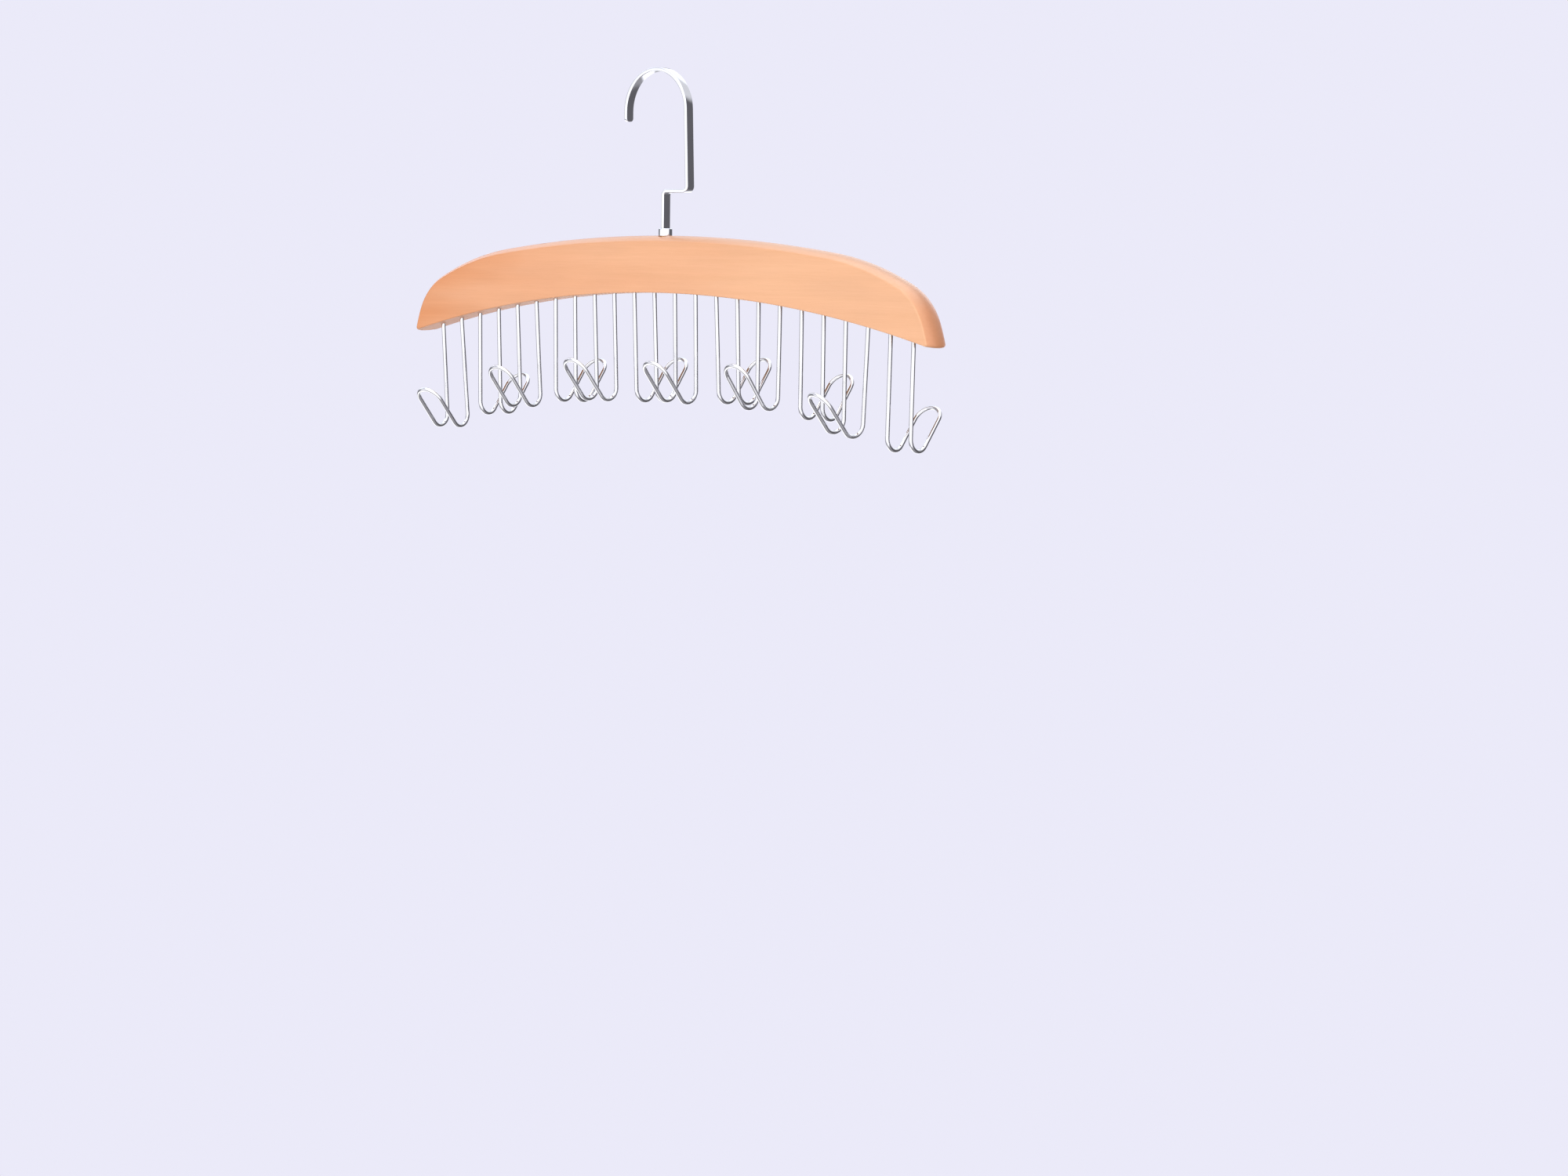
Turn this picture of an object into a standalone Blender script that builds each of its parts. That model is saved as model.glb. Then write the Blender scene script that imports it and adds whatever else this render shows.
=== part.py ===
"""Tank top hanger: an arched wooden bar that turns under a flat chrome hook.

Twelve bent wire hooks hang from the bar's underside, facing front and back in turn.
Metres, +Z up. The origin is the inner top of the hook's arc, X runs along the bar, -Y
is the front and the bar hangs below.
"""
import math

import bmesh
import bpy
from mathutils import Matrix, Vector

# Wooden bar, seen from the front
BAR_LENGTH = 0.391
BAR_DEPTH = 0.0311
BAR_THICKNESS = 0.0157
TOP_RADIUS = 0.916
UNDERSIDE_RADIUS = 0.763
SHOULDER_RADIUS = 0.1706
SHOULDER_ANGLE = math.radians(25.7)
END_RADIUS = 0.0354
END_ANGLE = math.radians(68.5)
TIP_RADIUS = 0.0968
TOP_CROWN = 0.0031

# Flat hook, a strip bent on edge
STRIP_WIDTH = 0.0055
STRIP_THICKNESS = 0.002
STRIP_EDGE = 0.0003
SEAT_RADIUS = 0.0215
SEAT_TO_WOOD = 0.089
STEM_OFFSET = 0.0062
JOG_HEIGHT = 0.0242
JOG_BEND = 0.0026
UPRIGHT_LEAN = math.radians(2)
TIP_LENGTH = 0.0055
TIP_ROUNDING = 0.0016

# Swivel: collar on the wood, shank, sleeve in the wood, washer and nut below
COLLAR_DIAMETER = 0.0076
COLLAR_HEIGHT = 0.004
COLLAR_CHAMFER = 0.0007
COLLAR_LIP = 0.0014
SHANK_DIAMETER = 0.004
SHANK_ROOT = 0.002
SHANK_END = 0.0008
SLEEVE_WALL = 0.0007
RUNNING_GAP = 0.00008
RECESS_DIAMETER = 0.009
RECESS_DEPTH = 0.0065
WASHER_THICKNESS = 0.0008
NUT_FLATS = 0.0066
NUT_HEIGHT = 0.003
NUT_CHAMFER = 0.0003

# Wire hooks
HOOK_COUNT = 12
END_MARGIN = 0.0184
WIRE_DIAMETER = 0.0023
LEG_LENGTH = 0.0515
LEG_SEAT = 0.013
TROUGH_RADIUS = 0.0066
RISE_ANGLE = math.radians(37.5)
RISE_LENGTH = 0.0177

# How each hook stands, in degrees towards the back, towards the right end and turned
# anticlockwise seen from above, with the extra length of its legs in millimetres
HOOK_STANCES = [
    (4, 0.5, 6, 1.8), (-2.5, 4, 4.5, -0.2), (2, 1.5, 3, -0.6), (-0.5, 1.5, 1.5, -0.5),
    (2, 0.5, -1, -0.1), (0, 2.5, 0, 1.2), (3.5, -2, -0.5, 0.3), (2, 0.5, -3, -0.7),
    (-1, 0.5, -2.5, -1.7), (0.5, -0.5, 0.5, -0.9), (4.5, -5.5, -8, 0.9), (-2, 0.5, 1.5, 1.4),
]

# Fits
CLEARANCE = 0.0003
CUT_MARGIN = 0.002
SAW_OVERRUN = 0.008
MERGE_DISTANCE = 0.00001
FLAT_ANGLE = math.radians(0.05)

# Derived places
STEM_X = STEM_OFFSET
WOOD_TOP_Z = -SEAT_TO_WOOD
UNDERSIDE_TOP_Z = WOOD_TOP_Z - BAR_DEPTH
LEG_COUNT = 2 * HOOK_COUNT
LEG_PITCH = (BAR_LENGTH - 2 * END_MARGIN) / (LEG_COUNT - 1)
WIRE_RADIUS = WIRE_DIAMETER / 2
SHANK_RADIUS = SHANK_DIAMETER / 2
SLEEVE_BORE_RADIUS = SHANK_RADIUS + RUNNING_GAP
SLEEVE_RADIUS = SLEEVE_BORE_RADIUS + SLEEVE_WALL
BORE_RADIUS = SLEEVE_RADIUS + CLEARANCE
RECESS_TOP_Z = UNDERSIDE_TOP_Z + RECESS_DEPTH
STRIP_END_Z = WOOD_TOP_Z + 2 * CLEARANCE
WASHER_Z = RECESS_TOP_Z - CLEARANCE - WASHER_THICKNESS
NUT_Z = WASHER_Z - CLEARANCE - NUT_HEIGHT
SHANK_END_Z = NUT_Z - SHANK_END

# Facets
ARC_STEP = math.radians(15)
BAR_TOP_SEGMENTS = 26
BAR_UNDERSIDE_SEGMENTS = 30
SHOULDER_SEGMENTS = 7
END_SEGMENTS = 6
TIP_SEGMENTS = 2
CROWN_STEPS = 2
TURNED_SEGMENTS = 20
HOLE_SEGMENTS = 10
TROUGH_SEGMENTS = 6
LOOP_SEGMENTS = 6

# Colour, roughness and metallic value of each finish
FINISHES = {
    "pale_wood": ((0.94, 0.50, 0.29), 0.42, 0.0),
    "chrome": ((0.80, 0.81, 0.83), 0.12, 1.0),
    "bright_wire": ((0.72, 0.73, 0.75), 0.16, 1.0),
    "bearing_brass": ((0.76, 0.57, 0.28), 0.35, 1.0),
    "zinc_steel": ((0.62, 0.64, 0.67), 0.30, 1.0),
}


def clear_scene():
    """Remove whatever the file opened with."""
    for item in list(bpy.data.objects):
        bpy.data.objects.remove(item, do_unlink=True)


def new_collection(name):
    """A collection in the scene, to sort parts from cutters."""
    collection = bpy.data.collections.new(name)
    bpy.context.scene.collection.children.link(collection)
    return collection


def make_materials():
    """One Principled material for each finish."""
    for name, (colour, roughness, metallic) in FINISHES.items():
        material = bpy.data.materials.new(name)
        material.use_nodes = True
        shader = material.node_tree.nodes["Principled BSDF"]
        shader.inputs["Base Color"].default_value = (*colour, 1.0)
        shader.inputs["Roughness"].default_value = roughness
        shader.inputs["Metallic"].default_value = metallic


def place(item, collection, finish=None):
    """Link an object to its collection and give it its material."""
    for other in list(item.users_collection):
        other.objects.unlink(item)
    collection.objects.link(item)
    if finish:
        item.data.materials.append(bpy.data.materials[finish])
    return item


def as_cutter(item):
    """Show a cutter as a wire only."""
    item.hide_render = True
    item.display_type = "WIRE"
    return item


def smooth(item, sharp_angle=math.radians(35)):
    """Shade round faces smooth and keep true corners crisp."""
    item.data.shade_smooth()
    item.data.set_sharp_from_angle(angle=sharp_angle)


def object_from_bmesh(name, shape, collection, finish=None):
    """Turn a finished bmesh into an object."""
    mesh = bpy.data.meshes.new(name)
    shape.to_mesh(mesh)
    shape.free()
    return place(bpy.data.objects.new(name, mesh), collection, finish)


def cut(item, cutter, operation="DIFFERENCE"):
    """Cut a shape away from an object, or join it on."""
    boolean = item.modifiers.new(f"{operation.lower()}_{cutter.name}", "BOOLEAN")
    boolean.operation = operation
    boolean.solver = "EXACT"
    boolean.object = cutter


def bevel(item, width):
    """Ease an object's sharp edges."""
    modifier = item.modifiers.new("easing", "BEVEL")
    modifier.width = width
    modifier.segments = 1
    modifier.limit_method = "ANGLE"


def turned(name, profile, location, collection, finish=None, segments=TURNED_SEGMENTS):
    """A turned piece from its profile of (radius, height) points, run down the outer side."""
    mesh = bpy.data.meshes.new(name)
    closed = profile[0][0] > 0
    links = [(i, i + 1) for i in range(len(profile) - 1)]
    if closed:
        links.append((len(profile) - 1, 0))
    mesh.from_pydata([(radius, 0, height) for radius, height in profile], links, [])
    item = place(bpy.data.objects.new(name, mesh), collection, finish)
    item.location = location
    screw = item.modifiers.new("turning", "SCREW")
    screw.steps = segments
    screw.render_steps = segments
    screw.use_merge_vertices = True
    screw.merge_threshold = MERGE_DISTANCE
    return item


def outline_object(name, points, width, collection, finish=None, crown=0):
    """A flat outline in the XZ plane, given its width along Y and made a mesh.

    A crown swells the sides outwards by that much, in a shallow arc from face to face.
    """
    curve = bpy.data.curves.new(name, "CURVE")
    curve.dimensions = "2D"
    curve.fill_mode = "BOTH"
    curve.extrude = 0 if crown else width / 2
    curve.bevel_depth = crown
    curve.bevel_resolution = CROWN_STEPS
    spline = curve.splines.new("POLY")
    spline.points.add(len(points) - 1)
    for point, (x, z) in zip(spline.points, points):
        point.co = (x, z, 0, 1)
    spline.use_cyclic_u = True
    flat = bpy.data.objects.new(name + "_outline", curve)
    bpy.context.scene.collection.objects.link(flat)
    item = curve_to_mesh(flat, name, collection, finish)
    item.data.transform(Matrix.Rotation(math.radians(90), 4, "X"))
    if crown:
        spread_crown(item, crown, width)
    shape = bmesh.new()
    shape.from_mesh(item.data)
    bmesh.ops.dissolve_limit(shape, angle_limit=FLAT_ANGLE, verts=[], edges=shape.edges)
    bmesh.ops.recalc_face_normals(shape, faces=shape.faces)
    shape.to_mesh(item.data)
    shape.free()
    return item


def spread_crown(item, crown, width):
    """Spread half round sides over the whole width, so that a shallow arc is left."""
    radius = ((width / 2) ** 2 + crown**2) / (2 * crown)
    for vert in item.data.vertices:
        inset = crown
        if crown - abs(vert.co.y) > MERGE_DISTANCE:
            inset -= math.sqrt(crown**2 - vert.co.y**2)
        reach = math.sqrt(radius**2 - (radius - inset) ** 2)
        vert.co.y = math.copysign(reach, vert.co.y)


def curve_to_mesh(curve_object, name, collection, finish):
    """Replace a curve object by its mesh, with the caps welded on."""
    depsgraph = bpy.context.evaluated_depsgraph_get()
    mesh = bpy.data.meshes.new_from_object(curve_object.evaluated_get(depsgraph))
    shape = bmesh.new()
    shape.from_mesh(mesh)
    bmesh.ops.remove_doubles(shape, verts=shape.verts, dist=MERGE_DISTANCE)
    shape.to_mesh(mesh)
    shape.free()
    item = bpy.data.objects.new(name, mesh)
    item.matrix_world = curve_object.matrix_world
    bpy.data.objects.remove(curve_object)
    return place(item, collection, finish)


def outward(angle):
    """Direction in a plane, by its angle from straight up towards the right."""
    return Vector((math.sin(angle), math.cos(angle)))


def arc(centre, radius, start, end, segments):
    """Points along an arc in a plane, both ends included, by their angles from straight up."""
    return [
        centre + radius * outward(start + (end - start) * step / segments)
        for step in range(segments + 1)
    ]


class Pen:
    """Draws a smooth line of straights and arcs in a plane."""

    def __init__(self, x, z, heading):
        self.position = Vector((x, z))
        self.heading = heading
        self.points = [self.position.copy()]
        self.headings = [heading]

    def straight(self, length):
        self.position = self.position + length * self.direction()
        self.points.append(self.position.copy())
        self.headings.append(self.heading)

    def turn(self, radius, angle, segments=None):
        """Turn left by a positive angle, right by a negative one."""
        segments = segments or max(2, math.ceil(abs(angle) / ARC_STEP))
        side = math.copysign(1, angle)
        centre = self.position + side * radius * self.normal()
        for step in range(1, segments + 1):
            heading = self.heading + angle * step / segments
            outward = Vector((math.sin(heading), -math.cos(heading)))
            self.points.append(centre + side * radius * outward)
            self.headings.append(heading)
        self.heading += angle
        self.position = self.points[-1].copy()

    def direction(self):
        return Vector((math.cos(self.heading), math.sin(self.heading)))

    def normal(self):
        return Vector((-math.sin(self.heading), math.cos(self.heading)))

    def offset(self, distance):
        """The drawn line moved to its left by a distance."""
        return [
            point + distance * Vector((-math.sin(heading), math.cos(heading)))
            for point, heading in zip(self.points, self.headings)
        ]


def underside_z(x):
    """Height of the bar's arched underside at a distance from its middle."""
    return UNDERSIDE_TOP_Z - UNDERSIDE_RADIUS + math.sqrt(UNDERSIDE_RADIUS**2 - x**2)


def bar_middle(x):
    """Place along the bar measured from the stem, as a place in the part."""
    return STEM_X + x


def bar_side(inset):
    """Top line of the bar's right half, moved in by an inset, and on past the underside.

    It runs along the crown arc, the shoulder arc, the end arc and the tip arc, which all
    meet smoothly. The first and the last take the angles that bring the line to the tip.
    """
    tip = Vector((BAR_LENGTH / 2, underside_z(BAR_LENGTH / 2)))
    crown_centre = Vector((0, WOOD_TOP_Z - TOP_RADIUS))
    shoulder_reach = TOP_RADIUS - SHOULDER_RADIUS
    to_end = (SHOULDER_RADIUS - END_RADIUS) * outward(SHOULDER_ANGLE)
    to_tip = (END_RADIUS - TIP_RADIUS) * outward(END_ANGLE)
    rest = tip - crown_centre - to_end - to_tip
    bearing = math.atan2(rest.x, rest.y)
    crown_angle = bearing - corner_angle(rest.length, shoulder_reach, TIP_RADIUS)
    tip_angle = bearing + corner_angle(rest.length, TIP_RADIUS, shoulder_reach)
    shoulder_centre = crown_centre + shoulder_reach * outward(crown_angle)
    end_centre = shoulder_centre + to_end
    tip_centre = end_centre + to_tip
    points = arc(crown_centre, TOP_RADIUS - inset, 0, crown_angle, BAR_TOP_SEGMENTS // 2)
    points += arc(
        shoulder_centre, SHOULDER_RADIUS - inset, crown_angle, SHOULDER_ANGLE,
        SHOULDER_SEGMENTS)[1:]
    points += arc(
        end_centre, END_RADIUS - inset, SHOULDER_ANGLE, END_ANGLE, END_SEGMENTS)[1:]
    points += arc(tip_centre, TIP_RADIUS - inset, END_ANGLE, tip_angle, TIP_SEGMENTS)[1:]
    points.append(points[-1] + SAW_OVERRUN * outward(tip_angle + math.pi / 2))
    return points


def corner_angle(first, second, opposite):
    """Angle of a triangle between two of its sides, opposite the third."""
    return math.acos((first**2 + second**2 - opposite**2) / (2 * first * second))


def bar_blank_outline():
    """Outline of the bar's flat faces before its underside is sawn."""
    right = bar_side(TOP_CROWN)
    left = [Vector((-point.x, point.y)) for point in reversed(right[1:])]
    return [(bar_middle(point.x), point.y) for point in right + left]


def underside_outline():
    """Outline of what the saw takes off below the bar's arched underside."""
    arch_centre = Vector((0, UNDERSIDE_TOP_Z - UNDERSIDE_RADIUS))
    end_angle = math.asin((BAR_LENGTH / 2 + SAW_OVERRUN) / UNDERSIDE_RADIUS)
    right = arc(arch_centre, UNDERSIDE_RADIUS, 0, end_angle, BAR_UNDERSIDE_SEGMENTS // 2)
    right.append(right[-1] - Vector((0, BAR_DEPTH)))
    left = [Vector((-point.x, point.y)) for point in reversed(right[1:])]
    return [(bar_middle(point.x), point.y) for point in right + left]


def leg_places():
    """Distances of the wire legs from the stem."""
    return [(leg - (LEG_COUNT - 1) / 2) * LEG_PITCH for leg in range(LEG_COUNT)]


def cylinder(name, radius, low, high, x, y, collection, segments=HOLE_SEGMENTS):
    """An upright cylinder whose flats lie at the radius, two of them facing along the bar."""
    shape = bmesh.new()
    outer = radius / math.cos(math.pi / segments)
    bmesh.ops.create_cone(
        shape, cap_ends=True, segments=segments, radius1=outer, radius2=outer, depth=high - low,
        matrix=Matrix.Rotation(math.pi / segments, 4, "Z"))
    bmesh.ops.translate(shape, vec=(x, y, (low + high) / 2), verts=shape.verts)
    return object_from_bmesh(name, shape, collection)


def make_leg_holes(cutters):
    """Blind holes for the wire legs, drilled up into the underside."""
    shape = bmesh.new()
    outer = (WIRE_RADIUS + CLEARANCE) / math.cos(math.pi / HOLE_SEGMENTS)
    for x in leg_places():
        top = underside_z(x) + LEG_SEAT + CLEARANCE
        bottom = underside_z(x) - CUT_MARGIN
        hole = bmesh.ops.create_cone(
            shape, cap_ends=True, segments=HOLE_SEGMENTS, radius1=outer, radius2=outer,
            depth=top - bottom)
        bmesh.ops.translate(
            shape, vec=(bar_middle(x), 0, (top + bottom) / 2), verts=hole["verts"])
    return as_cutter(object_from_bmesh("leg_holes", shape, cutters))


def make_bar(parts, cutters):
    """The wooden bar: crowned on top, arched below, drilled for wires and swivel."""
    bar = outline_object(
        "wooden_bar", bar_blank_outline(), BAR_THICKNESS, parts, "pale_wood", TOP_CROWN)
    saw = outline_object(
        "underside_cut", underside_outline(), BAR_THICKNESS + 2 * CUT_MARGIN, cutters)
    cut(bar, as_cutter(saw))
    cut(bar, make_leg_holes(cutters))
    bore = cylinder(
        "pivot_bore", BORE_RADIUS, UNDERSIDE_TOP_Z - CUT_MARGIN, WOOD_TOP_Z + CUT_MARGIN,
        STEM_X, 0, cutters, TURNED_SEGMENTS)
    recess = cylinder(
        "nut_recess", RECESS_DIAMETER / 2, UNDERSIDE_TOP_Z - CUT_MARGIN, RECESS_TOP_Z,
        STEM_X, 0, cutters, TURNED_SEGMENTS)
    cut(bar, as_cutter(bore))
    cut(bar, as_cutter(recess))
    smooth(bar)
    return bar


def strip_line():
    """Middle line of the flat hook: stem, jog to the right, upright, seat arc and tip."""
    arc_radius = SEAT_RADIUS + STRIP_THICKNESS / 2
    tangent_x = arc_radius * math.cos(UPRIGHT_LEAN)
    tangent_z = -SEAT_RADIUS + arc_radius * math.sin(UPRIGHT_LEAN)
    jog_z = WOOD_TOP_Z + JOG_HEIGHT
    upright_x = tangent_x + (tangent_z - jog_z) * math.tan(UPRIGHT_LEAN)
    second_turn = math.pi / 2 + UPRIGHT_LEAN
    second_reach = JOG_BEND * math.tan(second_turn / 2)
    pen = Pen(STEM_X, STRIP_END_Z, math.pi / 2)
    pen.straight(jog_z - JOG_BEND - STRIP_END_Z)
    pen.turn(JOG_BEND, -math.pi / 2, 5)
    pen.straight(upright_x - STEM_X - JOG_BEND - second_reach)
    pen.turn(JOG_BEND, second_turn, 5)
    start = pen.position.copy()
    pen.straight(math.hypot(tangent_x - start.x, tangent_z - start.y))
    pen.turn(arc_radius, math.pi - UPRIGHT_LEAN, 20)
    pen.straight(TIP_LENGTH)
    return pen


def make_swivel_hook(parts, cutters):
    """The flat hook with the round shank that carries the bar."""
    pen = strip_line()
    left = pen.offset(STRIP_THICKNESS / 2)
    right = pen.offset(-STRIP_THICKNESS / 2)
    hook = outline_object("swivel_hook", right + left[::-1], STRIP_WIDTH, parts, "chrome")
    shape = bmesh.new()
    shape.from_mesh(hook.data)
    tip_z = pen.position.y
    tip_edges = [
        edge for edge in shape.edges
        if all(abs(vert.co.z - tip_z) < MERGE_DISTANCE and vert.co.x < 0 for vert in edge.verts)
        and abs(edge.verts[0].co.y - edge.verts[1].co.y) < MERGE_DISTANCE
    ]
    bmesh.ops.bevel(
        shape, geom=tip_edges, offset=TIP_ROUNDING, segments=3, profile=0.5, affect="EDGES")
    shape.to_mesh(hook.data)
    shape.free()
    bevel(hook, STRIP_EDGE)
    shank = cylinder(
        "hook_shank", SHANK_RADIUS, SHANK_END_Z, STRIP_END_Z + SHANK_ROOT, STEM_X, 0, cutters,
        TURNED_SEGMENTS)
    cut(hook, as_cutter(shank), "UNION")
    smooth(hook)
    return hook


def make_collar(parts, cutters):
    """Turned collar on the wood that hides where the strip becomes a shank."""
    radius = COLLAR_DIAMETER / 2
    bore = math.hypot(STRIP_WIDTH, STRIP_THICKNESS) / 2 + CLEARANCE
    lip = COLLAR_HEIGHT - COLLAR_LIP
    profile = [
        (0, COLLAR_HEIGHT), (radius - COLLAR_CHAMFER, COLLAR_HEIGHT),
        (radius, COLLAR_HEIGHT - COLLAR_CHAMFER), (radius, 0), (bore, 0), (bore, lip), (0, lip),
    ]
    seat = (STEM_X, 0, WOOD_TOP_Z + CLEARANCE)
    collar = turned("hook_collar", profile, seat, parts, "chrome")
    slot = bmesh.new()
    bmesh.ops.create_cube(slot, size=1)
    size = (STRIP_THICKNESS + 2 * CLEARANCE, STRIP_WIDTH + 2 * CLEARANCE, 2 * COLLAR_HEIGHT)
    bmesh.ops.scale(slot, vec=size, verts=slot.verts)
    middle = (STEM_X, 0, WOOD_TOP_Z + CLEARANCE + lip)
    bmesh.ops.translate(slot, vec=middle, verts=slot.verts)
    cut(collar, as_cutter(object_from_bmesh("collar_slot", slot, cutters)))
    smooth(collar)
    return collar


def ring_profile(inner, outer, height, top=0):
    """Profile of a plain ring that hangs down from its top."""
    return [(outer, top), (outer, top - height), (inner, top - height), (inner, top)]


def make_sleeve(parts):
    """Bearing sleeve lining the bore, in which the shank turns."""
    top = WOOD_TOP_Z - CLEARANCE
    length = top - RECESS_TOP_Z
    profile = ring_profile(
        SLEEVE_BORE_RADIUS / math.cos(math.pi / TURNED_SEGMENTS), SLEEVE_RADIUS, length)
    return turned("pivot_sleeve", profile, (STEM_X, 0, top), parts, "bearing_brass")


def make_washer(parts):
    """Thrust washer against the top of the recess."""
    profile = ring_profile(
        SHANK_RADIUS / math.cos(math.pi / TURNED_SEGMENTS) + CLEARANCE,
        RECESS_DIAMETER / 2 - CLEARANCE, WASHER_THICKNESS)
    top = (STEM_X, 0, WASHER_Z + WASHER_THICKNESS)
    return turned("thrust_washer", profile, top, parts, "zinc_steel")


def make_nut(parts, cutters):
    """Hexagon nut on the end of the shank."""
    shape = bmesh.new()
    corner = NUT_FLATS / 2 / math.cos(math.pi / 6)
    bmesh.ops.create_cone(
        shape, cap_ends=True, segments=6, radius1=corner, radius2=corner, depth=NUT_HEIGHT)
    nut = object_from_bmesh("lock_nut", shape, parts, "zinc_steel")
    nut.location = (STEM_X, 0, NUT_Z + NUT_HEIGHT / 2)
    bevel(nut, NUT_CHAMFER)
    hole = cylinder(
        "nut_bore", SHANK_RADIUS + CLEARANCE, NUT_Z - CUT_MARGIN, NUT_Z + NUT_HEIGHT + CUT_MARGIN,
        STEM_X, 0, cutters, TURNED_SEGMENTS)
    cut(nut, as_cutter(hole))
    return nut


def wire_side(leg_length):
    """One side of a wire hook below its leg's entry into the wood, as (reach, height) points."""
    pen = Pen(0, 0, -math.pi / 2)
    pen.straight(leg_length)
    pen.turn(TROUGH_RADIUS, math.pi - RISE_ANGLE, TROUGH_SEGMENTS)
    pen.straight(RISE_LENGTH)
    return pen.points[1:]


def wire_points(index):
    """Middle line of one wire hook, from the top of one leg to the top of the other."""
    left, right = leg_places()[2 * index:2 * index + 2]
    middle = (left + right) / 2
    half = (right - left) / 2
    side = -1 if index % 2 == 0 else 1
    back, sideways, turned_by, extra = HOOK_STANCES[index % len(HOOK_STANCES)]
    stance = Matrix.Rotation(math.radians(-sideways), 3, "Y")
    stance @= Matrix.Rotation(math.radians(back), 3, "X")
    stance @= Matrix.Rotation(math.radians(turned_by), 3, "Z")
    entry = Vector((bar_middle(middle), 0, (underside_z(left) + underside_z(right)) / 2))
    profile = wire_side(LEG_LENGTH + extra / 1000)
    end = profile[-1]
    rise = Vector((0, side * math.sin(RISE_ANGLE), math.cos(RISE_ANGLE)))
    hanging = [Vector((-half, side * reach, height)) for reach, height in profile]
    for step in range(1, LOOP_SEGMENTS):
        angle = math.pi * (1 - step / LOOP_SEGMENTS)
        across = Vector((half * math.cos(angle), side * end.x, end.y))
        hanging.append(across + half * math.sin(angle) * rise)
    hanging += [Vector((half, side * reach, height)) for reach, height in reversed(profile)]
    points = [entry + stance @ point for point in hanging]
    for x, at_end in ((left, False), (right, True)):
        seat = [
            Vector((bar_middle(x), 0, underside_z(x) + LEG_SEAT)),
            Vector((bar_middle(x), 0, underside_z(x))),
        ]
        points = points + seat[::-1] if at_end else seat + points
    return points


def make_wire_hook(index, parts):
    """One hook, bent from a single wire with both legs in the wood."""
    name = f"wire_hook_{index + 1:02d}"
    curve = bpy.data.curves.new(name, "CURVE")
    curve.dimensions = "3D"
    curve.bevel_depth = WIRE_RADIUS
    curve.bevel_resolution = 2
    curve.use_fill_caps = True
    points = wire_points(index)
    spline = curve.splines.new("POLY")
    spline.points.add(len(points) - 1)
    for target, point in zip(spline.points, points):
        target.co = (*point, 1)
    return place(bpy.data.objects.new(name, curve), parts, "bright_wire")


def build():
    """Model the whole hanger."""
    clear_scene()
    make_materials()
    parts = new_collection("tank_top_hanger")
    cutters = new_collection("cutters")
    make_swivel_hook(parts, cutters)
    make_collar(parts, cutters)
    make_nut(parts, cutters)
    pivot = bpy.data.objects.new("swivel_axis", None)
    pivot.location = (STEM_X, 0, WOOD_TOP_Z)
    place(pivot, parts)
    turning = [make_bar(parts, cutters), make_sleeve(parts), make_washer(parts)]
    turning += [make_wire_hook(index, parts) for index in range(HOOK_COUNT)]
    bpy.context.view_layer.update()
    for item in turning:
        item.parent = pivot
        item.matrix_parent_inverse = pivot.matrix_world.inverted()


build()
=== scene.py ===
"""Looks of the tank top hanger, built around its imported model.

The wooden bar, the flat hook, the wires and the small turned parts are modelled finely here
and stand for the model's plainer solids. Metres, +Z up, in the model's own frame: the inner
top of the hook's arc is the origin, X runs along the bar and -Y is the front.
"""
import math

import bmesh
import bpy
from mathutils import Matrix, Vector


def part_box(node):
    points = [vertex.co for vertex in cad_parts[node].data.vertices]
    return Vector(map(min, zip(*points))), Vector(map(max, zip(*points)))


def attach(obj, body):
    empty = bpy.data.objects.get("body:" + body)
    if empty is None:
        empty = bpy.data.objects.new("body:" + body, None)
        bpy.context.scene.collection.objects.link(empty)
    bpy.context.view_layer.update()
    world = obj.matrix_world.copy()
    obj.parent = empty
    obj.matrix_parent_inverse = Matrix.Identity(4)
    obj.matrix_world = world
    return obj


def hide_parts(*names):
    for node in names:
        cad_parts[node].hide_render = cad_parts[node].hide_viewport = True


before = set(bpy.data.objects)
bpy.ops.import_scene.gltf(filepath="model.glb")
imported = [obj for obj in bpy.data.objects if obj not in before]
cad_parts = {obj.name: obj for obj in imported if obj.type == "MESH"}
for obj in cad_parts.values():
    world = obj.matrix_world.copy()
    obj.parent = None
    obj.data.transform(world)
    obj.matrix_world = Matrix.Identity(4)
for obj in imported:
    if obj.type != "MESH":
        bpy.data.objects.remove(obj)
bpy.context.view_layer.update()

# Directions in the model's frame
RIGHT = Vector((1, 0, 0))
BACK = Vector((0, 1, 0))

# Bar, from the model's box and its arcs
BAR_LOW, BAR_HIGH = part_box("wooden_bar")
STEM_X = (BAR_LOW.x + BAR_HIGH.x) / 2
HALF_LENGTH = (BAR_HIGH.x - BAR_LOW.x) / 2
HALF_THICKNESS = BAR_HIGH.y
WOOD_TOP_Z = BAR_HIGH.z
BAR_DEPTH = 0.0311
TOP_RADIUS = 0.916
UNDERSIDE_RADIUS = 0.763
SHOULDER_RADIUS = 0.1706
SHOULDER_ANGLE = math.radians(25.7)
END_RADIUS = 0.0354
END_ANGLE = math.radians(68.5)
TIP_RADIUS = 0.0968
TOP_CROWN = 0.0031
ARRIS_RADIUS = 0.0012
BACK_ARRIS_RADIUS = 0.003
UNDERSIDE_EASING = 0.0006
CORNER_RADIUS = 0.0012
UNDERSIDE_TOP_Z = WOOD_TOP_Z - BAR_DEPTH

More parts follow.
